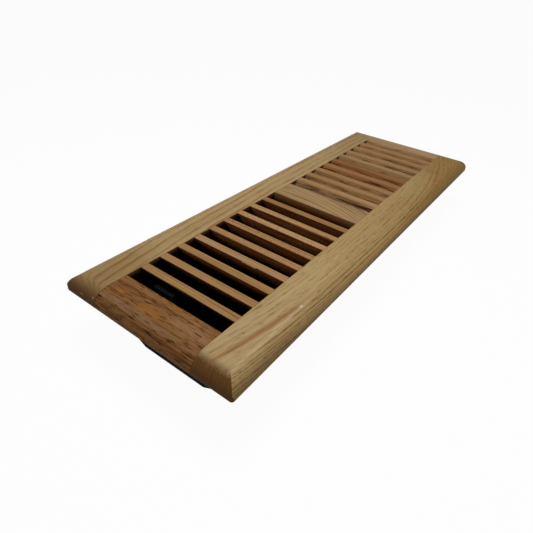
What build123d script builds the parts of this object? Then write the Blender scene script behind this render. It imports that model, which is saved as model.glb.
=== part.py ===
from build123d import *
import os
from math import cos, radians, sin, tan

# Face plate: an oak frame for a 4 by 14 inch duct opening, whose rim laps the floor round it (mm)
face_width = 139.7
face_length = 393.7
rim_thickness = 12.4
rim_lap = 22.225
edge_radius = 10.6
lower_edge_radius = 1.5
corner_radius = 2.0
core_width = 4.925
core_depth = 17.0
end_cover = 0.875
end_bevel_depth = 8.0

# Louvre slats: tops lean towards the nearer end of the frame
slats_per_half = 9
slat_thickness = 5.43
slat_lean = 35.0
slat_edge_ease = 0.4
slat_tongue = 3.5
slat_shoulder = 3.0
centre_bar_width = 24.45
bar_throat = 3.3

# Glued wood joints
tenon_length = 10.0
tenon_thickness = 5.0
tenon_rise = 5.2
tenon_inset = 5.0
joint_gap = 0.1

# Moulded damper box under the frame
box_depth = 41.4
box_wall = 2.0
box_corner_radius = 3.0
box_inner_radius = 1.0
side_wall_depth = 30.0
end_wall_foot = 54.0
core_clearance = 0.2
rebate_depth = 1.0
ear_reach = 8.4
ear_width = 14.0
ear_thickness = 2.0
ear_setback = 13.5
bearing_height = 9.0
bearing_margin = 6.0
bearing_thickness = 1.5

# Screws that hold the box to the frame
screw_inset = 2.9
screw_radius = 1.4
screw_bite = 6.0
screw_clearance = 0.3
pilot_clearance = 0.05
head_radius = 2.5
head_height = 1.8
recess_length = 3.0
recess_width = 0.8
recess_depth = 0.9

# Damper vanes: flat blades on a round spine, turned by cranks at the front end
vane_names = ("left", "centre", "right")
vane_gap = 0.35
vane_headroom = 4.1
vane_end_gap = 0.5
blade_thickness = 1.8
spine_radius = 3.0
journal_radius = 2.0
journal_clearance = 0.1
crank_radius = 12.5
crank_closed = -45.0
crank_width = 6.8
crank_thickness = 2.4

# Tie bar that links the cranks, with the ridged thumb tab on it
tie_setback = 8.0
tie_thickness = 3.3
tie_height = 7.2
tie_play = 0.5
pin_radius = 1.6
pin_clearance = 0.3
barb_radius = 2.3
barb_length = 1.6
barb_taper = 20.0
tab_width = 17.0
tab_offset = -8.5
tab_sink = 2.3
tab_gap = 1.25
ridge_count = 8
ridge_width = 1.4
ridge_height = 0.7
ridge_slope = 60.0

# Heights: the box stands on the origin's plane, and the rim seats on the floor at seat
seat = box_depth
top = seat + rim_thickness
core_bottom = top - core_depth
box_top = seat + rebate_depth

# Box and frame layout, from the rim inwards: lap, box wall, rail core, louvre opening
box_width = face_width - 2 * rim_lap
box_length = face_length - 2 * rim_lap
box_inner_width = box_width - 2 * box_wall
box_inner_length = box_length - 2 * box_wall
opening_width = box_inner_width - 2 * (core_clearance + core_width)
opening_length = box_inner_length - 2 * end_cover
end_rail_width = (face_length - opening_length) / 2
side_rail_width = (face_width - opening_width) / 2
side_rail_place = (opening_width + side_rail_width) / 2
end_rail_place = (opening_length + end_rail_width) / 2
end_tenon_width = end_rail_width - 2 * tenon_inset
bar_tenon_width = centre_bar_width - 2 * tenon_inset
tenon_height = seat + tenon_rise
core_length = box_inner_length - 2 * (core_clearance + box_inner_radius)
core_place = (opening_width + core_width) / 2

# Slat layout: the first slot leaves room for the thumb tab, the last for the bar's lower edge
lean_slope = tan(radians(slat_lean))
slat_top_width = slat_thickness / cos(radians(slat_lean))
first_slot = tie_setback + tie_thickness + tab_gap - tab_sink * lean_slope
last_slot = bar_throat + rim_thickness * lean_slope
half_length = (opening_length - centre_bar_width) / 2
slat_run = half_length - first_slot - last_slot - slat_top_width
slat_pitch = slat_run / (slats_per_half - 1)
slat_edges = [first_slot + number * slat_pitch - opening_length / 2 for number in range(slats_per_half)]
slat_places = [(edge, 1) for edge in slat_edges] + [(-edge, -1) for edge in reversed(slat_edges)]

# Damper layout
vane_pitch = box_inner_width / len(vane_names)
vane_width = vane_pitch - 2 * vane_gap
pivot_height = core_bottom - vane_headroom - vane_width / 2
pin_shift = crank_radius * sin(radians(crank_closed))
pin_rise = crank_radius * cos(radians(crank_closed))
tie_front = tie_setback - opening_length / 2
crank_front = tie_front + tie_thickness + tie_play
blade_front = crank_front + crank_thickness
blade_length = box_inner_length / 2 - bearing_thickness - vane_end_gap - blade_front
bearing_width = (len(vane_names) - 1) * vane_pitch + 2 * bearing_margin
ear_place = opening_length / 2 - ear_setback
screw_place = box_inner_width / 2 - screw_inset
ear_bottom = core_bottom - ear_thickness
screw_spots = [
    (side * screw_place, along)
    for side in (-1, 1)
    for along in (-ear_place, 0, ear_place)
]


def section_plane(along):
    """Upright plane across the register at a distance along it, facing the front end."""
    return Plane.XZ.offset(-along)


def edge_profile(plane, width):
    """Rim section with both top edges rounded over."""
    with BuildSketch(plane) as profile:
        with Locations((0, seat)):
            Rectangle(width, rim_thickness, align=(Align.CENTER, Align.MIN))
        fillet(profile.vertices().group_by(Axis.Y)[-1], edge_radius)
    return profile.sketch


def louvre_profile(plane, edge, way, start, margin):
    """Leaning section of a slat from its outer top edge, below a starting depth."""
    inner = way * (slat_top_width + margin)
    outer = -way * margin
    upper = edge + way * start * lean_slope
    lower = edge + way * core_depth * lean_slope
    with BuildSketch(plane) as profile:
        with BuildLine():
            Polyline(
                (upper + outer, top - start),
                (upper + inner, top - start),
                (lower + inner, core_bottom),
                (lower + outer, core_bottom),
                close=True,
            )
        make_face()
    return profile.sketch


def save(builder, label):
    """Label a finished piece and write its file."""
    builder.part.label = label
    export_step(builder.part, f"parts/{label}.step")


os.makedirs("parts", exist_ok=True)

# Whole rim moulding, which the rails are cut from so that the rounded edges mitre at the corners;
# a rebate in its underside takes the top edge of the damper box
rebate_width = box_width + 2 * core_clearance
rebate_length = box_length + 2 * core_clearance
with BuildPart() as moulding:
    extrude(edge_profile(Plane.XZ, face_width), amount=face_length / 2, both=True)
    extrude(
        edge_profile(Plane.YZ, face_length),
        amount=face_width / 2,
        both=True,
        mode=Mode.INTERSECT,
    )
    with BuildSketch(Plane.XY.offset(seat)):
        RectangleRounded(face_width, face_length, corner_radius)
    extrude(amount=rim_thickness, mode=Mode.INTERSECT)
    fillet(moulding.edges().group_by(Axis.Z)[0], lower_edge_radius)
    with BuildSketch(Plane.XY.offset(seat)):
        RectangleRounded(rebate_width, rebate_length, box_corner_radius + core_clearance)
    extrude(amount=rebate_depth, mode=Mode.SUBTRACT)

# Side rails: full length, with a deeper core inside the box and mortises for slats and tenons
tenon_places = (
    (-end_rail_place, end_tenon_width),
    (0, bar_tenon_width),
    (end_rail_place, end_tenon_width),
)
for side, name in ((-1, "left"), (1, "right")):
    inner_face = Plane.YZ.offset(side * opening_width / 2)
    with BuildPart() as side_rail:
        add(moulding.part)
        with Locations((side * side_rail_place, 0, seat + rim_thickness / 2)):
            Box(side_rail_width, face_length, rim_thickness, mode=Mode.INTERSECT)
        with BuildSketch(Plane.XY.offset(core_bottom)):
            with Locations((side * core_place, 0)):
                Rectangle(core_width, core_length)
        extrude(amount=box_top - core_bottom)
        for edge, way in slat_places:
            mortise = louvre_profile(inner_face, edge, way, slat_shoulder - joint_gap, joint_gap)
            extrude(mortise, amount=side * (slat_tongue + joint_gap), mode=Mode.SUBTRACT)
        with BuildSketch(inner_face):
            for along, width in tenon_places:
                with Locations((along, tenon_height)):
                    Rectangle(width + 2 * joint_gap, tenon_thickness + 2 * joint_gap)
        extrude(amount=side * (tenon_length + joint_gap), mode=Mode.SUBTRACT)
        with Locations(*[(x, y, core_bottom) for x, y in screw_spots if x * side > 0]):
            Cylinder(
                screw_radius + pilot_clearance,
                screw_bite + joint_gap,
                align=(Align.CENTER, Align.CENTER, Align.MIN),
                mode=Mode.SUBTRACT,
            )
    save(side_rail, f"side_rail_{name}")

# End rails: butted between the side rails on stub tenons, with the inner edge bevelled like the slats
for end, name in ((-1, "front"), (1, "rear")):
    inner_edge = end * opening_length / 2
    bevel_foot = inner_edge - end * end_bevel_depth * lean_slope
    with BuildPart() as end_rail:
        add(moulding.part)
        with Locations((0, end * end_rail_place, seat + rim_thickness / 2)):
            Box(opening_width - 2 * joint_gap, end_rail_width, rim_thickness, mode=Mode.INTERSECT)
        with BuildSketch(Plane.YZ):
            with BuildLine():
                Polyline(
                    (inner_edge, top),
                    (bevel_foot, top - end_bevel_depth),
                    (bevel_foot, seat),
                    (inner_edge, seat),
                    close=True,
                )
            make_face()
        extrude(amount=opening_width / 2 - joint_gap, both=True)
        with Locations((0, end * end_rail_place, tenon_height)):
            Box(opening_width + 2 * tenon_length, end_tenon_width, tenon_thickness)
    save(end_rail, f"end_rail_{name}")

# Centre bar: square edged, on the same stub tenons
with BuildPart() as centre_bar:
    with Locations((0, 0, seat + rim_thickness / 2)):
        Box(opening_width - 2 * joint_gap, centre_bar_width, rim_thickness)
    with Locations((0, 0, tenon_height)):
        Box(opening_width + 2 * tenon_length, bar_tenon_width, tenon_thickness)
save(centre_bar, "centre_bar")

# Slats: flush with the frame's top face, with a haunched tongue in each side rail
haunch_length = slat_tongue + joint_gap
haunch_place = opening_width / 2 - joint_gap + haunch_length / 2
haunch_height = top - slat_shoulder / 2
for number, (edge, way) in enumerate(slat_places, start=1):
    with BuildPart() as slat:
        section = louvre_profile(Plane.YZ, edge, way, 0, 0)
        extrude(section, amount=opening_width / 2 + slat_tongue, both=True)
        with Locations((-haunch_place, 0, haunch_height), (haunch_place, 0, haunch_height)):
            Box(haunch_length, face_length, slat_shoulder, mode=Mode.SUBTRACT)
        chamfer(slat.edges().filter_by(Axis.X).group_by(Axis.Z)[-1], slat_edge_ease)
    save(slat, f"slat_{number:02d}")

# Damper box: open above and below, with deeper tapered end walls and a bearing strip on each
side_wall_bottom = seat - side_wall_depth
with BuildPart() as damper_box:
    with BuildSketch(Plane.XZ):
        with BuildLine():
            Polyline(
                (-box_width / 2, box_top),
                (-box_width / 2, side_wall_bottom),
                (-end_wall_foot / 2, 0),
                (end_wall_foot / 2, 0),
                (box_width / 2, side_wall_bottom),
                (box_width / 2, box_top),
                close=True,
            )
        make_face()
    extrude(amount=box_length / 2, both=True)
    fillet(damper_box.edges().filter_by(Axis.Z), box_corner_radius)
    with BuildSketch():
        RectangleRounded(box_inner_width, box_inner_length, box_inner_radius)
    extrude(amount=box_top, mode=Mode.SUBTRACT)
    with BuildSketch(Plane.XY.offset(ear_bottom)):
        for side in (-1, 1):
            for along in (-ear_place, 0, ear_place):
                with Locations((side * (box_inner_width + box_wall - ear_reach) / 2, along)):
                    Rectangle(ear_reach + box_wall, ear_width)
        for x, y in screw_spots:
            with Locations((x, y)):
                Circle(screw_radius + screw_clearance, mode=Mode.SUBTRACT)
    extrude(amount=ear_thickness)
    for end in (-1, 1):
        with Locations((0, end * (box_inner_length - bearing_thickness) / 2, pivot_height)):
            Box(bearing_width, bearing_thickness, bearing_height)
    with BuildSketch(Plane.XZ):
        with Locations((0, pivot_height)):
            with GridLocations(vane_pitch, 0, len(vane_names), 1):
                Circle(journal_radius + journal_clearance)
    extrude(amount=box_length / 2, both=True, mode=Mode.SUBTRACT)
save(damper_box, "damper_box")

# Screws: cross-recessed pan heads below the ears, shanks up into the rails' cores
with BuildPart() as damper_screws:
    shank_length = ear_thickness + screw_bite
    with Locations(*[(x, y, ear_bottom) for x, y in screw_spots]):
        Cylinder(head_radius, head_height, align=(Align.CENTER, Align.CENTER, Align.MAX))
        Cylinder(screw_radius, shank_length, align=(Align.CENTER, Align.CENTER, Align.MIN))
    with Locations(*[(x, y, ear_bottom - head_height) for x, y in screw_spots]):
        for turn in (0, 90):
            Box(
                recess_length,
                recess_width,
                recess_depth,
                rotation=(0, 0, turn),
                align=(Align.CENTER, Align.CENTER, Align.MIN),
                mode=Mode.SUBTRACT,
            )
save(damper_screws, "damper_screws")

# Vanes: blade, spine, journals in the end walls, and a crank with a barbed pin
journal_ends = box_length / 2
barb_front = tie_front - tie_play
for place, name in enumerate(vane_names):
    pivot_across = (place - (len(vane_names) - 1) / 2) * vane_pitch
    pivot = (pivot_across, pivot_height)
    crank_middle = (pivot_across + pin_shift / 2, pivot_height + pin_rise / 2)
    crank_end = (pivot_across + pin_shift, pivot_height + pin_rise)
    with BuildPart() as vane:
        with BuildSketch(section_plane(blade_front)):
            with Locations(pivot):
                Rectangle(vane_width, blade_thickness)
                Circle(spine_radius)
        extrude(amount=-blade_length)
        with BuildSketch(section_plane(-journal_ends)):
            with Locations(pivot):
                Circle(journal_radius)
        extrude(amount=-2 * journal_ends)
        with BuildSketch(section_plane(crank_front)):
            with Locations(crank_middle):
                SlotCenterToCenter(crank_radius, crank_width, rotation=90 - crank_closed)
        extrude(amount=-crank_thickness)
        with BuildSketch(section_plane(barb_front)):
            with Locations(crank_end):
                Circle(pin_radius)
        extrude(amount=barb_front - crank_front)
        with BuildSketch(section_plane(barb_front)):
            with Locations(crank_end):
                Circle(barb_radius)
        extrude(amount=barb_length, taper=barb_taper)
    save(vane, f"vane_{name}")

# Tie bar: a flat link on the three crank pins, carrying the ridged thumb tab
tie_middle = (pin_shift, pivot_height + pin_rise)
tab_across = pin_shift + tab_offset
tab_top = top - tab_sink - ridge_height - (crank_radius - pin_rise)
with BuildPart() as tie_bar:
    with BuildSketch(section_plane(tie_front)):
        with Locations(tie_middle):
            SlotCenterToCenter((len(vane_names) - 1) * vane_pitch, tie_height)
        with Locations((tab_across, tie_middle[1])):
            Rectangle(tab_width, tab_top - tie_middle[1], align=(Align.CENTER, Align.MIN))
        with Locations((tab_across, tab_top + ridge_height / 2)):
            with GridLocations(tab_width / ridge_count, 0, ridge_count, 1):
                Trapezoid(ridge_width, ridge_height, ridge_slope)
        with Locations(tie_middle):
            with GridLocations(vane_pitch, 0, len(vane_names), 1):
                Circle(pin_radius + pin_clearance, mode=Mode.SUBTRACT)
    extrude(amount=-tie_thickness)
save(tie_bar, "tie_bar")
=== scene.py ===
from dataclasses import dataclass
from math import radians

import bmesh
import bpy
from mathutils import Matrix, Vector


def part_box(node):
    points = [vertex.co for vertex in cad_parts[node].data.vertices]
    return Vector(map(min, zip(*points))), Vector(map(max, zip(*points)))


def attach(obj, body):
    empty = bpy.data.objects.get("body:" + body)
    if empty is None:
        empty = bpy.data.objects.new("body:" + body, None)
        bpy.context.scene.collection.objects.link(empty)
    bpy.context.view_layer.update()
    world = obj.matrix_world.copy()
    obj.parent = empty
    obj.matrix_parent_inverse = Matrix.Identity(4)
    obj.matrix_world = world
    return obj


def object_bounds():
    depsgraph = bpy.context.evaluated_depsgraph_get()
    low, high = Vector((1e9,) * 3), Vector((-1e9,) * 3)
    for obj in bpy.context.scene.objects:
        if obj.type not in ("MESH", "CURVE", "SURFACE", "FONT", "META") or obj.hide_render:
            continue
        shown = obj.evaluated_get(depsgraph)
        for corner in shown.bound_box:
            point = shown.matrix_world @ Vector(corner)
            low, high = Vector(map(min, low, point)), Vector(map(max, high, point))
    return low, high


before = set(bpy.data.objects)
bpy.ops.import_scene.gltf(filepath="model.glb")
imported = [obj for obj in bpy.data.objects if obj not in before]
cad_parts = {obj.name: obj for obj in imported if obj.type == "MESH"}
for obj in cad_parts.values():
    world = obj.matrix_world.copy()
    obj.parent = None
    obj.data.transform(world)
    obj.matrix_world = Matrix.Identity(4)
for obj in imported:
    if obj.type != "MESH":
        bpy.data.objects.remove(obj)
cad_low, cad_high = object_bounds()

MM = 0.001
WHITE = (1.0, 1.0, 1.0, 1.0)

# Camera at the photograph's view: place in metres, turn in degrees and lens in mm
CAMERA_PLACE = (0.16102, -0.30477, 0.23111)
CAMERA_TURN = (55.676, -3.648, 36.081)
CAMERA_LENS = 30.043
CAMERA_SHIFT = (-0.01884, -0.02571)
CAMERA_NEAR = 0.01

# Soft light from above, a little nearer the front end, in metres and watts, over a weak even fill
KEY_PLACE = (0.05, -0.1, 0.75)
KEY_SIZE = 0.35
KEY_POWER = 4.3
FILL_LEVEL = 0.08

# Floor: the share of glow that keeps it white to the camera, and how far inside the damper box's walls
# that glow has gone and where it starts to go, in metres
FLOOR_SIZE = 12.0
FLOOR_COLOUR = (0.9, 0.9, 0.89, 1.0)
FLOOR_ROUGHNESS = 0.9
FLOOR_GLOW = 0.96
FLOOR_DARK_INSETS = (0.03, 0.002)

# Height of the wood's face, and half the louvre opening's width and length to just past its walls, in mm
FACE_HEIGHT = cad_high.z / MM
OPENING_REACH = (40.8, 172.0)

# Oak tones as plain wood, the lines of the growth rings and the pores, in screen colours
OAK_TONES = {
    "straw": ("b09466", "8a6431", "4e2d12"),
    "flax": ("b3996e", "8a6636", "4e2f16"),
    "tan": ("a98357", "774e25", "40270f"),
    "honey": ("b08b62", "7e532c", "472a12"),
    "rose": ("9c6f46", "6c4221", "3a1e0c"),
    "amber": ("a67e54", "6e4925", "3a240e"),
    "red": ("94663c", "62371d", "32150a"),
    "russet": ("8d643a", "633d1f", "3b190a"),
    "olive": ("a58257", "6d4d2c", "392811"),
    "grey": ("a98b62", "755530", "463019"),
    "sand": ("ba956c", "865a31", "4a2c14"),
}

# Painted shade deep in the slots, end grain, and wood that the saw has torn, a colour also painted as shade
# on eased top edges
SLOT_SHADE = "1a0803"
END_SHADE = "5d3917"
SAW_AND_EDGE_SHADE = "3f1c0c"

# Grain: how far the noise moves for each seed, the run over which a bow is measured and how it grows
SEED_STEPS = (71.3, 137.7, 43.1)
BOW_REACH = 100.0
BOW_POWER = 3.0

# Growth rings: waves in them as size across, along and up and reach in mm, then their uneven spacing,
# where the dark line rises and falls within a ring, and how much rings differ and fade
RING_WAVES = (((24.0, 140.0, 24.0), 2.6), ((6.0, 38.0, 6.0), 1.1))
UNEVEN_SCALE = 0.12
UNEVEN_TURNS = 2.0
RING_RISE = (0.0, 0.06)
RING_FALL = (0.05, 0.5)
RING_SPREAD = 0.75
FADE_WIDTH = 5.0
FADE_LEVELS = (0.3, 0.62)
FADE_SPREAD = 0.7

# Upward part of the normal on a rounded edge and on a flat top
EDGE_TILT = (0.75, 0.99)

# Fibres, broad clouds and slanting rays: size across, along and up in mm, noise levels and strength
FIBRE_SIZE = (0.5, 36.0, 0.5)
FIBRE_LEVELS = (0.38, 0.7)
FIBRE_SHARE = 0.3
CLOUD_SIZE = (11.0, 110.0, 11.0)
CLOUD_LEVELS = (0.42, 0.72)
CLOUD_SHARE = 0.25
HATCH_SIZE = (5.0, 0.45, 5.0)
HATCH_LEVELS = (0.5, 0.64)
HATCH_SLANT = 0.9

# Where these add up to more than the rings' own colour, the pores' colour comes through
DEEP_LEVELS = (0.9, 2.0)
DEEP_SHARE = 0.6

# End grain: rays round the pith, how dark it is at least, what the rays add, and what rings and pores lose
END_RAY_SCALE = 110.0
END_RAY_LEVELS = (0.35, 0.65)
END_DARK = 0.88
END_RAY_SHARE = 0.05
END_RING_LOSS = 0.93
END_PORE_LOSS = 0.8

# Stains, painted highlights and painted shade: where in their reach they start to fade and end, and how far
# the fibres shift that
PATCH_EDGE = (0.35, 1.0)
PATCH_RAGGED = 0.9

# Pores: how softly they begin, and what the rings' dark lines add to them
PORE_EDGE = 0.1
PORE_RING_SHARE = 0.3

# Slots, by depth in mm: torn flecks, painted shade that grows with depth, and painted shade on the eased
# top edge
TORN_SIZE = (1.0, 20.0, 1.0)
TORN_LEVELS = (0.5, 0.6)
TORN_DEPTHS = (0.4, 2.0)
SHADE_START = 0.3
SHADE_SHARE = 0.95
EASED_DEPTHS = (0.35, 0.6)

# Finish of the wood: gloss, and relief in mm
WOOD_ROUGHNESS = 0.46
PORE_ROUGHNESS = 0.25
WOOD_SPECULAR = 0.02
WOOD_BUMP = 0.35
WOOD_RELIEF = 0.08
FIBRE_HEIGHT = 0.25

# Black plastic: size of its fine texture and of its faint dust clouds in mm, and how dust lightens it
PLASTIC_GRAIN = 0.35
PLASTIC_BUMP = 0.25
PLASTIC_RELIEF = 0.05
PLASTIC_ROUGHNESS = 0.5
PLASTIC_SPECULAR = 0.06
BOX_SPECULAR = 0.02
DUST_SIZE = 9.0
DUST_LEVELS = (0.4, 0.8)
DUST_GAIN = 1.7
DUST_LIFT = 0.001
DUST_ROUGHNESS = 0.15
BOX_BLACK = "030303"
VANE_BLACK = "030304"
# The tie bar's black is lighter than the rest: a painted highlight for the light its ridges catch
TIE_BLACK_LIT = "0d0e10"

# Zinc plating: bright and stained shades, size of the stains and of the brushed scratches in mm
ZINC_SHADES = ("a7a9a6", "74756f")
ZINC_STAIN = 1.6
ZINC_SCRATCH = (0.08, 0.9, 0.08)
ZINC_BUMP = 0.2
ZINC_RELIEF = 0.02
ZINC_ROUGHNESS = 0.28
STAIN_ROUGHNESS = 0.2


@dataclass
class Board:
    """How a board is cut from its log and what its finish shows, with sizes and places in mm."""

    # Axis of the grain, tone, which part of the noise it shows, and the log's centre across and up
    along: str
    tone: str
    seed: int
    pith: tuple

    # Growth rings: width, strength, what rounded edges add to it, and how far one runs before it fades
    ring: float = 1.6
    figure: float = 0.75
    edge_figure: float = 0.0
    fade: float = 45.0

    # Where along the board the grain lies straight, and how far it has bent sideways BOW_REACH from there
    bow: tuple = (0.0, 0.0)

    # Pores: strength, size across and along, and the noise level where they begin
    flecks: float = 0.12
    fleck_size: tuple = (0.4, 14.0)
    fleck_start: float = 0.58

    # Strength of fine slanting rays
    hatch: float = 0.0

    # How far a face leans to the grain's end before it starts to darken, and where it is full
    soak: tuple = (0.04, 0.42)

    # In the slots: how deep the painted shade is full, how dark the saw's streaks are, and how dark the
    # painted shade on the eased top edges is
    shade_depth: float = 5.0
    rough: float = 0.15
    eased: float = 0.0

    # Stains and painted highlights that follow the grain, and straight wear, painted highlights and painted
    # shade, each as a centre in X, Y and Z,
    # a reach across the grain, along it and up, a screen colour and a strength
    marks_and_highlights: tuple = ()
    wear_and_painted_light: tuple = ()


# Rails and bar: side rails with the grain along the register, the others across it
BOARDS = {
    "side_rail_right": Board(
        "Y", "straw", 1, pith=(139.0, -75.0), ring=2.0, figure=0.65, edge_figure=0.85, fade=20.0,
        bow=(-25.0, 3.0), flecks=0.36, fleck_size=(0.5, 9.0), shade_depth=1.5,
        marks_and_highlights=(
            # Darker far end, with a paler stretch before it
            ((55.0, 205.0, 48.0), (70.0, 270.0, 70.0), "8a6420", 0.6),
            ((50.0, 95.0, 54.5), (16.0, 55.0, 3.5), "af996a", 0.35),
            # Brown streaks
            ((56.4, -157.0, 53.8), (2.5, 56.0, 8.0), "8c5f33", 0.68),
            ((57.3, 104.8, 53.8), (1.2, 85.0, 8.0), "86592a", 0.45),
            ((57.1, 132.2, 53.8), (2.4, 42.0, 8.0), "86592a", 0.45),
            # Pin holes near the ends
            ((49.7, -164.1, 53.8), (0.7, 0.9, 0.9), "5a3d20", 0.7),
            ((49.6, 173.9, 53.8), (0.9, 1.3, 1.3), "4f3518", 0.7),
            # Pale speck and a dark fleck on the rounded edge
            ((61.9, -123.9, 53.4), (0.9, 1.9, 1.1), "d6cdbf", 0.95),
            ((66.9, -76.2, 50.4), (0.6, 4.0, 0.8), "4a2f14", 0.4),
        ),
        wear_and_painted_light=(
            # Paler top towards the near end, and a painted highlight along its ridge
            ((55.0, -180.0, 55.0), (60.0, 100.0, 3.4), "bfa680", 0.38),
            ((50.0, -95.0, 54.5), (16.0, 55.0, 3.5), "c1aa7c", 0.3),
            ((62.0, -150.0, 53.6), (1.6, 62.0, 2.0), "d2bf9a", 0.33),
            # Outer side, golden in the middle and dark low down
            ((70.0, -165.0, 43.5), (7.0, 75.0, 10.0), "5e4220", 0.35),
            ((70.0, 20.0, 48.0), (7.0, 190.0, 7.0), "c09a5c", 0.35),
            ((70.0, 60.0, 41.0), (6.0, 260.0, 7.0), "4e3716", 0.55),
        ),
    ),
    "side_rail_left": Board(
        "Y", "flax", 2, pith=(-96.0, -70.0), ring=1.8, figure=0.85, fade=22.0,
        bow=(200.0, -0.22), flecks=0.25, fleck_size=(0.5, 9.0), soak=(0.1, 1.1), shade_depth=4.5,
        marks_and_highlights=(
            # Darker ends
            ((-55.0, -205.0, 48.0), (80.0, 50.0, 80.0), "5a4020", 0.15),
            ((-55.0, -172.0, 54.0), (30.0, 42.0, 6.0), "7a5a30", 0.3),
            ((-50.0, 210.0, 48.0), (70.0, 200.0, 70.0), "7d5c2a", 0.2),
            # Pale smears on the near end
            ((-43.2, -195.4, 48.5), (0.9, 1.2, 1.2), "b5a68c", 0.7),
            ((-54.1, -196.3, 46.6), (3.0, 1.2, 0.8), "94825f", 0.6),
        ),
        wear_and_painted_light=(
            # Dark near end, pale stretch on top, and painted shade on the wall of the opening
            ((-55.0, -197.0, 46.0), (40.0, 8.0, 14.0), "38230f", 0.15),
            ((-50.0, 95.0, 54.5), (16.0, 45.0, 3.5), "bfaa79", 0.3),
            ((-40.3, 0.0, 48.5), (0.9, 700.0, 9.0), "5a3219", 0.9),
        ),
    ),
    "end_rail_front": Board(
        "X", "russet", 3, pith=(-150.0, -60.0), flecks=0.85, fleck_size=(0.5, 8.0), fleck_start=0.56,
        marks_and_highlights=(
            # Painted highlight along the ridge of the rounded edge, and red and dark streaks below it
            ((-8.0, -191.2, 52.6), (3.2, 55.0, 3.4), "957659", 0.5),
            ((12.0, -194.9, 49.3), (1.5, 34.0, 1.7), "54260f", 0.6),
            ((33.0, -195.6, 47.6), (1.2, 14.0, 1.4), "4d220c", 0.6),
            ((-24.0, -196.4, 46.4), (1.6, 10.0, 2.6), "4a2a10", 0.5),
            ((-31.6, -195.4, 48.6), (1.6, 6.0, 2.0), "5c3216", 0.5),
            # Golden, brown and pale patches on top
            ((-2.6, -185.4, 53.8), (3.2, 18.0, 4.0), "a06c30", 0.45),
            ((-33.0, -178.5, 53.8), (3.6, 9.0, 4.0), "7d4a22", 0.45),
            ((-30.0, -184.0, 53.8), (1.6, 7.0, 3.0), "a56c30", 0.5),
            ((27.0, -181.0, 54.5), (9.0, 24.0, 5.0), "a37d58", 0.4),
        ),
        # Lighter rounded front
        wear_and_painted_light=(((0.0, -195.5, 47.0), (5.0, 60.0, 7.0), "9b6c46", 0.2),),
    ),
    "end_rail_rear": Board(
        "X", "honey", 4, pith=(260.0, -10.0), shade_depth=45.0, rough=0.4,
        # Paler top
        wear_and_painted_light=(((0.0, 185.0, 54.5), (22.0, 70.0, 5.0), "b8a583", 0.25),),
    ),
    "centre_bar": Board(
        "X", "grey", 5, pith=(-40.0, -60.0), figure=1.2, bow=(-40.0, 27.0), shade_depth=8.5,
        marks_and_highlights=(
            # Brown lines on top
            ((15.2, 7.1, 53.8), (0.8, 30.0, 6.0), "6a4a28", 0.6),
            ((28.0, -3.0, 53.8), (0.6, 16.0, 6.0), "6a4a28", 0.45),
        ),
        # Painted shade on the front wall, darker and red-brown
        wear_and_painted_light=(((0.0, -12.4, 45.0), (1.3, 80.0, 10.0), "985a32", 1.0),),
    ),
}

# Slats: one tone for each, from the front end to the rear
SLAT_TONES = (
    "tan", "tan", "tan", "honey", "honey", "honey", "sand", "sand", "amber",
    "honey", "amber", "amber", "rose", "red", "olive", "olive", "amber", "amber",
)
SLAT_SEED = 10

# The log's centre in front of a slat and up, and the bow, which changes ends from slat to slat
SLAT_PITH_AHEAD = 60.0
SLAT_PITH_HEIGHT = 20.0
SLAT_BOW_PLACE = 50.0
SLAT_BEND = 1.5

# The near half's slats have wider rings and painted shade on their eased edges, the far half's are rough
# from the saw
NEAR_CUT = {"ring": 2.2, "figure": 1.15, "rough": 0.15, "eased": 0.8}
FAR_CUT = {"ring": 1.1, "figure": 0.95, "rough": 0.75}
# Depth in mm where the painted shade in a slat's slots is full
SLAT_SHADE_DEPTH = 60.0

# What differs on some slats: depth of the painted shade, and how dark the saw's streaks are
SLAT_SHADE_DEPTHS = {1: 6.0, 2: 30.0, 3: 18.0, 10: 8.5}
SLAT_ROUGH = {10: 1.0, 13: 0.95, 15: 0.5}

# Dark red streaks on the sloping faces of far slats
SLAT_MARKS = {
    10: (
        ((24.0, 22.0, 50.8), (2.4, 26.0, 2.2), "4a1d0a", 0.6),
        ((-22.0, 22.6, 51.6), (1.2, 16.0, 1.2), "54240f", 0.5),
    ),
    13: (((14.0, 70.9, 51.0), (1.8, 15.0, 1.8), "4f2210", 0.55),),
}

# Slats cut on the quarter, whose tops show fine slanting rays
HATCHED_SLATS = (5, 6, 7, 8)
HATCH_SHARE = 0.5

# Splinter on the front top edge of one slat: place along it, reach out of the edge and hang, in mm
SPLINTERED_SLAT = "slat_04"
SPLINTER = (
    (4.4, 0.0, 0.3), (6.0, 0.25, 0.9), (8.0, 0.2, 0.7), (10.0, 0.35, 1.1),
    (12.5, 0.25, 0.9), (14.5, 0.3, 1.0), (16.4, 0.45, 1.5), (17.4, 0.1, 0.5),
)
SPLINTER_BOARD = Board("X", "straw", 30, pith=(-170.0, 20.0))

# Its section: how far it lies back on the slat and under its top, the drop of its tip, how far its lower
# edge stands out as a share of its reach, how deep it is rooted in the slat, and the slat's slope
SPLINTER_BACK = 0.5
SPLINTER_SINK = 0.02
SPLINTER_TIP_DROP = 0.25
SPLINTER_LOW_SHARE = 0.3
SPLINTER_ROOT = 0.1
SLAT_SLOPE = 0.7


def screen_colour(code):
    """Linear colour with alpha from a six-digit screen colour, by the sRGB curve."""
    levels = [int(code[place:place + 2], 16) / 255 for place in (0, 2, 4)]
    linear = [level / 12.92 if level <= 0.04045 else ((level + 0.055) / 1.055) ** 2.4 for level in levels]
    return (*linear, 1.0)


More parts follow.
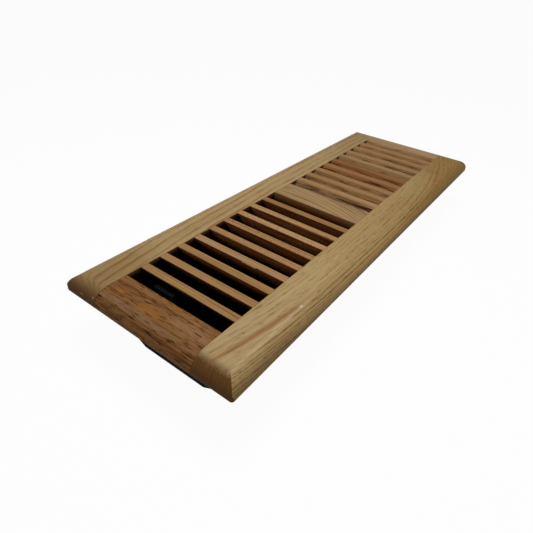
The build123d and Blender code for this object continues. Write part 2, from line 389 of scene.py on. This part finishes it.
class Shader:
    """A new material with short calls that add nodes and give back their outputs."""

    def __init__(self, name):
        self.material = bpy.data.materials.new(name)
        self.material.use_nodes = True
        self.tree = self.material.node_tree
        self.surface = self.tree.nodes["Principled BSDF"]

    def plug(self, socket, value):
        """Link an output to a socket, or set the socket to a plain value."""
        if isinstance(value, bpy.types.NodeSocket):
            self.tree.links.new(value, socket)
        else:
            socket.default_value = value

    def add(self, kind, inputs, output=0, **settings):
        """Output of a new node with these inputs and settings."""
        node = self.tree.nodes.new("ShaderNode" + kind)
        for name, value in settings.items():
            setattr(node, name, value)
        for key, value in inputs.items():
            self.plug(node.inputs[key], value)
        return node.outputs[output]

    def finish(self, **inputs):
        """Set the surface's own inputs, with spaces for underscores in their names."""
        for name, value in inputs.items():
            self.plug(self.surface.inputs[name.replace("_", " ")], value)
        return self.material

    def math(self, operation, first, second=0.0):
        return self.add("Math", {0: first, 1: second}, operation=operation)

    def product(self, first, *others):
        """All the values multiplied."""
        for other in others:
            first = self.math("MULTIPLY", first, other)
        return first

    def scaled(self, value, factor, offset=0.0):
        """value times factor plus offset."""
        return self.add("Math", {0: value, 1: factor, 2: offset}, operation="MULTIPLY_ADD")

    def inverse(self, share):
        """What is left of 1."""
        return self.math("SUBTRACT", 1.0, share)

    def ramp(self, value, low, high):
        """Smooth step from 0 at low to 1 at high."""
        inputs = {"Value": value, "From Min": low, "From Max": high}
        return self.add("MapRange", inputs, interpolation_type="SMOOTHSTEP")

    def vector(self, operation, first, second):
        return self.add("VectorMath", {0: first, 1: second}, operation=operation)

    def joined(self, x, y, z):
        return self.add("CombineXYZ", {0: x, 1: y, 2: z})

    def parts(self, vector):
        """The three parts of a vector by axis name."""
        node = self.tree.nodes.new("ShaderNodeSeparateXYZ")
        self.plug(node.inputs[0], vector)
        return {axis: node.outputs[axis] for axis in "XYZ"}

    def length(self, vector):
        return self.add("VectorMath", {0: vector}, 1, operation="LENGTH")

    def millimetres(self):
        """The place on the register in mm."""
        metres = self.add("TexCoord", {}, "Object")
        return self.vector("MULTIPLY", metres, (1 / MM,) * 3)

    def noise(self, place, size, detail=2.0, roughness=0.5, output="Fac"):
        """Noise whose features have the given sizes, in mm, along the place's three axes."""
        inputs = {"Vector": self.vector("DIVIDE", place, size), "Detail": detail, "Roughness": roughness}
        return self.add("TexNoise", {"Scale": 1.0, **inputs}, output)

    def line_noise(self, value, scale):
        """Noise along one value."""
        return self.add("TexNoise", {"W": value, "Scale": scale, "Detail": 2.0}, noise_dimensions="1D")

    def blend(self, share, first, second):
        """Colour that goes from the first to the second."""
        inputs = {"Factor": share, 6: first, 7: second}
        return self.add("Mix", inputs, 2, data_type="RGBA")

    def bumped(self, height, strength, relief):
        """Normal of a surface whose relief is given in mm."""
        inputs = {"Strength": strength, "Distance": relief * MM, "Height": height}
        return self.add("Bump", inputs, "Normal")


class Oak(Shader):
    """Clear-finished oak on one board, drawn in layers of colour."""

    def __init__(self, name, board):
        super().__init__(name)
        self.board = board
        light, self.line, self.pore = OAK_TONES[board.tone]
        self.colour = screen_colour(light)
        self.spot = self.parts(self.millimetres())
        self.follow_grain()
        self.find_faces()
        self.find_rings()
        self.fibre = self.noise(self.place, FIBRE_SIZE, detail=3.0, roughness=0.6)

    def paint(self, share, code):
        """Lay a screen colour over what is there."""
        self.colour = self.blend(share, self.colour, screen_colour(code))

    def follow_grain(self):
        """Coordinates across the grain, along it and up: straight, with the bow taken out, and seeded."""
        across, run = ("X", "Y") if self.board.along == "Y" else ("Y", "X")
        side, way, up = (self.spot[axis] for axis in (across, run, "Z"))
        centre, bend = self.board.bow
        away = self.math("ABSOLUTE", self.scaled(way, 1 / BOW_REACH, -centre / BOW_REACH))
        aside = self.scaled(self.math("POWER", away, BOW_POWER), bend)
        self.straight = self.joined(side, way, up)
        self.bowed = self.joined(self.math("ADD", side, aside), way, up)
        self.place = self.vector("ADD", self.bowed, [self.board.seed * step for step in SEED_STEPS])

    def find_faces(self):
        """How far a face is a rounded edge, and how far it is end grain."""
        normal = self.add("TexCoord", {}, "Normal")
        self.edge = self.inverse(self.ramp(self.parts(normal)["Z"], *EDGE_TILT))
        grain_axis = (0.0, 1.0, 0.0) if self.board.along == "Y" else (1.0, 0.0, 0.0)
        facing = self.add("VectorMath", {0: normal, 1: grain_axis}, 1, operation="DOT_PRODUCT")
        self.end = self.ramp(self.math("ABSOLUTE", facing), *self.board.soak)

    def find_rings(self):
        """Growth rings, each of its own strength, wandering and fading along the board."""
        board = self.board
        warped = self.bowed
        for size, reach in RING_WAVES:
            drift = self.vector("SUBTRACT", self.noise(self.place, size, output="Color"), (0.5,) * 3)
            warped = self.vector("ADD", warped, self.vector("MULTIPLY", drift, (reach,) * 3))
        self.spoke = self.vector("SUBTRACT", warped, (board.pith[0], 0.0, board.pith[1]))
        radius = self.length(self.vector("MULTIPLY", self.spoke, (1.0, 0.0, 1.0)))
        uneven = self.scaled(self.line_noise(radius, UNEVEN_SCALE), UNEVEN_TURNS, board.seed)
        turns = self.math("ADD", self.math("DIVIDE", radius, board.ring), uneven)
        phase = self.math("FRACT", turns)
        falling = self.inverse(self.ramp(phase, *RING_FALL))
        self.early = self.math("MINIMUM", falling, self.ramp(phase, *RING_RISE))
        weight = self.add("TexWhiteNoise", {"W": self.math("FLOOR", turns)}, noise_dimensions="1D")
        fading = self.ramp(self.noise(self.place, (FADE_WIDTH, board.fade, FADE_WIDTH)), *FADE_LEVELS)
        self.rings = self.product(
            self.early,
            self.scaled(weight, RING_SPREAD, 1 - RING_SPREAD),
            self.scaled(fading, FADE_SPREAD, 1 - FADE_SPREAD),
            self.scaled(self.edge, board.edge_figure, board.figure),
            self.scaled(self.end, -END_RING_LOSS, 1.0),
        )

    def slanting_rays(self):
        """Fine strokes at a slant across the grain."""
        spot = self.parts(self.place)
        slant = self.joined(spot["X"], self.scaled(spot["X"], HATCH_SLANT, spot["Y"]), spot["Z"])
        return self.ramp(self.noise(slant, HATCH_SIZE), *HATCH_LEVELS)

    def draw_wood(self):
        """Rings, fibre streaks, broad changes of tone and, on some boards, slanting rays."""
        streaks = self.scaled(self.ramp(self.fibre, *FIBRE_LEVELS), FIBRE_SHARE)
        clouds = self.scaled(self.ramp(self.noise(self.place, CLOUD_SIZE), *CLOUD_LEVELS), CLOUD_SHARE)
        share = self.math("ADD", self.rings, self.math("ADD", streaks, clouds))
        if self.board.hatch:
            share = self.math("ADD", share, self.scaled(self.slanting_rays(), self.board.hatch))
        self.paint(self.math("MINIMUM", share, 1.0), self.line)
        self.paint(self.scaled(self.ramp(share, *DEEP_LEVELS), DEEP_SHARE), self.pore)

    def draw_end_grain(self):
        """End grain drinks the finish and turns dark, with its rays running out from the pith."""
        spread = self.parts(self.spoke)
        angle = self.math("ARCTAN2", spread["X"], spread["Z"])
        rays = self.ramp(self.line_noise(angle, END_RAY_SCALE), *END_RAY_LEVELS)
        self.paint(self.product(self.end, self.scaled(rays, END_RAY_SHARE, END_DARK)), END_SHADE)

    def draw_stains_and_painted_light(self, stains_and_painted_light, field, bend):
        """Ragged stains, painted highlights and painted shade, in straight coordinates or in bowed ones
        with their bend.
        """
        for (x, y, z), reach, code, level in stains_and_painted_light:
            side, way = (x, y) if self.board.along == "Y" else (y, x)
            aside = bend * (abs(way - self.board.bow[0]) / BOW_REACH) ** BOW_POWER
            offset = self.vector("SUBTRACT", field, (side + aside, way, z))
            gap = self.length(self.vector("DIVIDE", offset, reach))
            ragged = self.math("ADD", gap, self.scaled(self.fibre, PATCH_RAGGED, -PATCH_RAGGED / 2))
            inside = self.inverse(self.ramp(ragged, *PATCH_EDGE))
            self.paint(self.scaled(inside, level), code)

    def draw_pores(self):
        """Pores and rays as short dark dashes, strongest on the rings' dark lines."""
        board = self.board
        thin, long = board.fleck_size
        tubes = self.noise(self.place, (thin, long, thin), detail=1.0)
        dashes = self.ramp(tubes, board.fleck_start, board.fleck_start + PORE_EDGE)
        depth = self.math("MINIMUM", self.scaled(self.early, PORE_RING_SHARE, board.flecks), 1.0)
        self.pits = self.product(dashes, depth, self.scaled(self.end, -END_PORE_LOSS, 1.0))
        self.paint(self.pits, self.pore)

    def draw_slots(self):
        """Down in the slots: rough flecks the saw left, painted shade that deepens below the top, and
        painted shade on the eased top edges.
        """
        within = [
            self.math("LESS_THAN", self.math("ABSOLUTE", self.spot[axis]), reach)
            for axis, reach in zip("XY", OPENING_REACH)
        ]
        in_slot = self.product(*within)
        depth = self.scaled(self.spot["Z"], -1.0, FACE_HEIGHT)
        flecks = self.ramp(self.noise(self.place, TORN_SIZE, detail=3.0), *TORN_LEVELS)
        torn = self.product(flecks, in_slot, self.ramp(depth, *TORN_DEPTHS))
        self.paint(self.scaled(torn, self.board.rough), SAW_AND_EDGE_SHADE)
        # Painted shade inside the opening, darker the deeper below the top
        painted_shade = self.product(in_slot, self.ramp(depth, SHADE_START, self.board.shade_depth))
        self.paint(self.scaled(painted_shade, SHADE_SHARE), SLOT_SHADE)
        # Painted shade on the eased top edges, in the torn wood's colour
        shaded_rim = self.product(self.edge, self.inverse(self.ramp(depth, *EASED_DEPTHS)), in_slot)
        self.paint(self.scaled(shaded_rim, self.board.eased), SAW_AND_EDGE_SHADE)

    def coated(self):
        """The material with its gloss and relief."""
        height = self.math("SUBTRACT", self.scaled(self.fibre, FIBRE_HEIGHT), self.pits)
        return self.finish(
            Base_Color=self.colour,
            Roughness=self.scaled(self.pits, PORE_ROUGHNESS, WOOD_ROUGHNESS),
            Normal=self.bumped(height, WOOD_BUMP, WOOD_RELIEF),
            Specular_IOR_Level=WOOD_SPECULAR,
        )


def oak(name, board):
    """Clear-finished oak: the wood itself, then its end grain, wear and marks with their painted highlights
    and painted shade, pores, and the slots with torn flecks and painted shade.
    """
    wood = Oak(name, board)
    wood.draw_wood()
    wood.draw_end_grain()
    wood.draw_stains_and_painted_light(board.wear_and_painted_light, wood.straight, 0.0)
    wood.draw_stains_and_painted_light(board.marks_and_highlights, wood.bowed, board.bow[1])
    wood.draw_pores()
    wood.draw_slots()
    return wood.coated()


def moulded_plastic(name, code, specular=PLASTIC_SPECULAR):
    """Black moulded plastic with a fine spark-eroded texture and a faint cloudy dust."""
    shader = Shader(name)
    point = shader.millimetres()
    speckle = shader.noise(point, (PLASTIC_GRAIN,) * 3, detail=3.0)
    cloud = shader.noise(point, (DUST_SIZE,) * 3)
    base = screen_colour(code)
    dusty = tuple(DUST_GAIN * level + DUST_LIFT for level in base[:3]) + (1.0,)
    return shader.finish(
        Base_Color=shader.blend(shader.ramp(cloud, *DUST_LEVELS), base, dusty),
        Roughness=shader.scaled(cloud, DUST_ROUGHNESS, PLASTIC_ROUGHNESS),
        Normal=shader.bumped(speckle, PLASTIC_BUMP, PLASTIC_RELIEF),
        Specular_IOR_Level=specular,
    )


def zinc_steel(name):
    """Zinc-plated screw steel with brushed, slightly stained brightness."""
    shader = Shader(name)
    point = shader.millimetres()
    stain = shader.noise(point, (ZINC_STAIN,) * 3, detail=3.0)
    scratch = shader.noise(point, ZINC_SCRATCH)
    bright, dull = (screen_colour(code) for code in ZINC_SHADES)
    return shader.finish(
        Base_Color=shader.blend(stain, bright, dull),
        Roughness=shader.scaled(stain, STAIN_ROUGHNESS, ZINC_ROUGHNESS),
        Normal=shader.bumped(scratch, ZINC_BUMP, ZINC_RELIEF),
        Metallic=1.0,
    )


def dress(node, material):
    """Give a CAD node its finish."""
    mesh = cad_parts[node].data
    mesh.materials.clear()
    mesh.materials.append(material)


def slat_board(number, tone):
    """One louvre slat, with what differs on it."""
    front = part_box(f"slat_{number:02d}")[0].y / MM
    cut = dict(NEAR_CUT if number <= len(SLAT_TONES) / 2 else FAR_CUT)
    cut["rough"] = SLAT_ROUGH.get(number, cut["rough"])
    return Board(
        "X", tone, SLAT_SEED + number, (front - SLAT_PITH_AHEAD, SLAT_PITH_HEIGHT),
        bow=(-SLAT_BOW_PLACE if number % 2 else SLAT_BOW_PLACE, SLAT_BEND),
        hatch=HATCH_SHARE if number in HATCHED_SLATS else 0.0,
        shade_depth=SLAT_SHADE_DEPTHS.get(number, SLAT_SHADE_DEPTH),
        marks_and_highlights=SLAT_MARKS.get(number, ()),
        **cut,
    )


def make_splinter():
    """Sliver of torn grain that stands off a slat's front top edge, rooted in the slat."""
    low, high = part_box(SPLINTERED_SLAT)
    form = bmesh.new()
    rows = []
    for along, out, hang in SPLINTER:
        corners = (
            (SPLINTER_BACK, -SPLINTER_SINK),
            (-out, -SPLINTER_TIP_DROP),
            (-SPLINTER_LOW_SHARE * out, -hang),
            (SLAT_SLOPE * hang + SPLINTER_ROOT, -hang),
        )
        rows.append([form.verts.new((along * MM, low.y + y * MM, high.z + z * MM)) for y, z in corners])
    form.faces.new(rows[0])
    form.faces.new(rows[-1])
    for first, second in zip(rows, rows[1:]):
        for side in range(len(first)):
            after = (side + 1) % len(first)
            form.faces.new((first[side], first[after], second[after], second[side]))
    bmesh.ops.recalc_face_normals(form, faces=form.faces)
    mesh = bpy.data.meshes.new("splinter")
    form.to_mesh(mesh)
    form.free()
    mesh.materials.append(oak("oak_splinter", SPLINTER_BOARD))
    splinter = bpy.data.objects.new("splinter", mesh)
    bpy.context.scene.collection.objects.link(splinter)
    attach(splinter, "frame")


def seen_directly(tree):
    """Output that is 1 for what the camera sees, directly or in a gloss or glass."""
    rays = tree.nodes.new("ShaderNodeLightPath")
    share = rays.outputs["Is Camera Ray"]
    for other in ("Is Glossy Ray", "Is Transmission Ray"):
        either = tree.nodes.new("ShaderNodeMath")
        either.operation = "MAXIMUM"
        tree.links.new(share, either.inputs[0])
        tree.links.new(rays.outputs[other], either.inputs[1])
        share = either.outputs[0]
    return share


def mix_shaders(tree, share, first, second, output):
    """Lead a mix of two shaders to the tree's output node."""
    mixer = tree.nodes.new("ShaderNodeMixShader")
    for socket, value in zip(mixer.inputs, (share, first.outputs[0], second.outputs[0])):
        tree.links.new(value, socket)
    tree.links.new(mixer.outputs[0], tree.nodes[output].inputs["Surface"])


def open_floor(shader):
    """Output that is 0 on the floor inside the damper box and 1 around it, with a soft change between."""
    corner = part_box("damper_box")[1]
    gone, start = FLOOR_DARK_INSETS
    parts = shader.parts(shader.add("TexCoord", {}, "Object"))
    beside = [
        shader.ramp(shader.math("ABSOLUTE", parts[axis]), reach - gone, reach - start)
        for axis, reach in (("X", corner.x), ("Y", corner.y))
    ]
    return shader.math("MAXIMUM", *beside)


def make_floor():
    """Pale floor that stays white to the camera and keeps a soft shadow."""
    bpy.ops.mesh.primitive_plane_add(size=FLOOR_SIZE)
    floor = bpy.context.object
    floor.name = "floor"
    shader = Shader("pale_floor")
    shader.finish(Base_Color=FLOOR_COLOUR, Roughness=FLOOR_ROUGHNESS)
    glow = shader.tree.nodes.new("ShaderNodeEmission")
    share = shader.product(seen_directly(shader.tree), shader.scaled(open_floor(shader), FLOOR_GLOW))
    mix_shaders(shader.tree, share, shader.surface, glow, "Material Output")
    floor.data.materials.append(shader.material)


def make_world():
    """Even soft light all round, white where it is seen directly."""
    world = bpy.data.worlds.new("studio")
    bpy.context.scene.world = world
    world.use_nodes = True
    tree = world.node_tree
    soft = tree.nodes["Background"]
    soft.inputs["Strength"].default_value = FILL_LEVEL
    white = tree.nodes.new("ShaderNodeBackground")
    for light in (soft, white):
        light.inputs["Color"].default_value = WHITE
    mix_shaders(tree, seen_directly(tree), soft, white, "World Output")


def make_key_light():
    """Large lamp above the register, aimed at the middle of its foot."""
    lamp = bpy.data.lights.new("key", "AREA")
    lamp.size = KEY_SIZE
    lamp.energy = KEY_POWER
    key = bpy.data.objects.new("key", lamp)
    key.location = KEY_PLACE
    key.rotation_euler = (-Vector(KEY_PLACE)).to_track_quat("-Z", "Y").to_euler()
    bpy.context.scene.collection.objects.link(key)


def make_camera():
    """The photograph's view."""
    lens = bpy.data.cameras.new("camera")
    lens.lens = CAMERA_LENS
    lens.shift_x, lens.shift_y = CAMERA_SHIFT
    lens.clip_start = CAMERA_NEAR
    camera = bpy.data.objects.new("camera", lens)
    camera.location = CAMERA_PLACE
    camera.rotation_euler = [radians(angle) for angle in CAMERA_TURN]
    bpy.context.scene.collection.objects.link(camera)
    bpy.context.scene.camera = camera


# Wood
for node, board in BOARDS.items():
    dress(node, oak(f"oak_{node}", board))
for number, tone in enumerate(SLAT_TONES, start=1):
    dress(f"slat_{number:02d}", oak(f"oak_slat_{number:02d}", slat_board(number, tone)))
make_splinter()

# Damper: black mouldings and plated screws
dress("damper_box", moulded_plastic("black_box", BOX_BLACK, BOX_SPECULAR))
for vane in ("vane_left", "vane_centre", "vane_right"):
    dress(vane, moulded_plastic(f"black_{vane}", VANE_BLACK))
dress("tie_bar", moulded_plastic("black_tie_bar", TIE_BLACK_LIT))
dress("damper_screws", zinc_steel("zinc_screws"))

# Floor, light and camera
make_floor()
make_world()
make_key_light()
make_camera()
bpy.context.scene.view_settings.view_transform = "Standard"
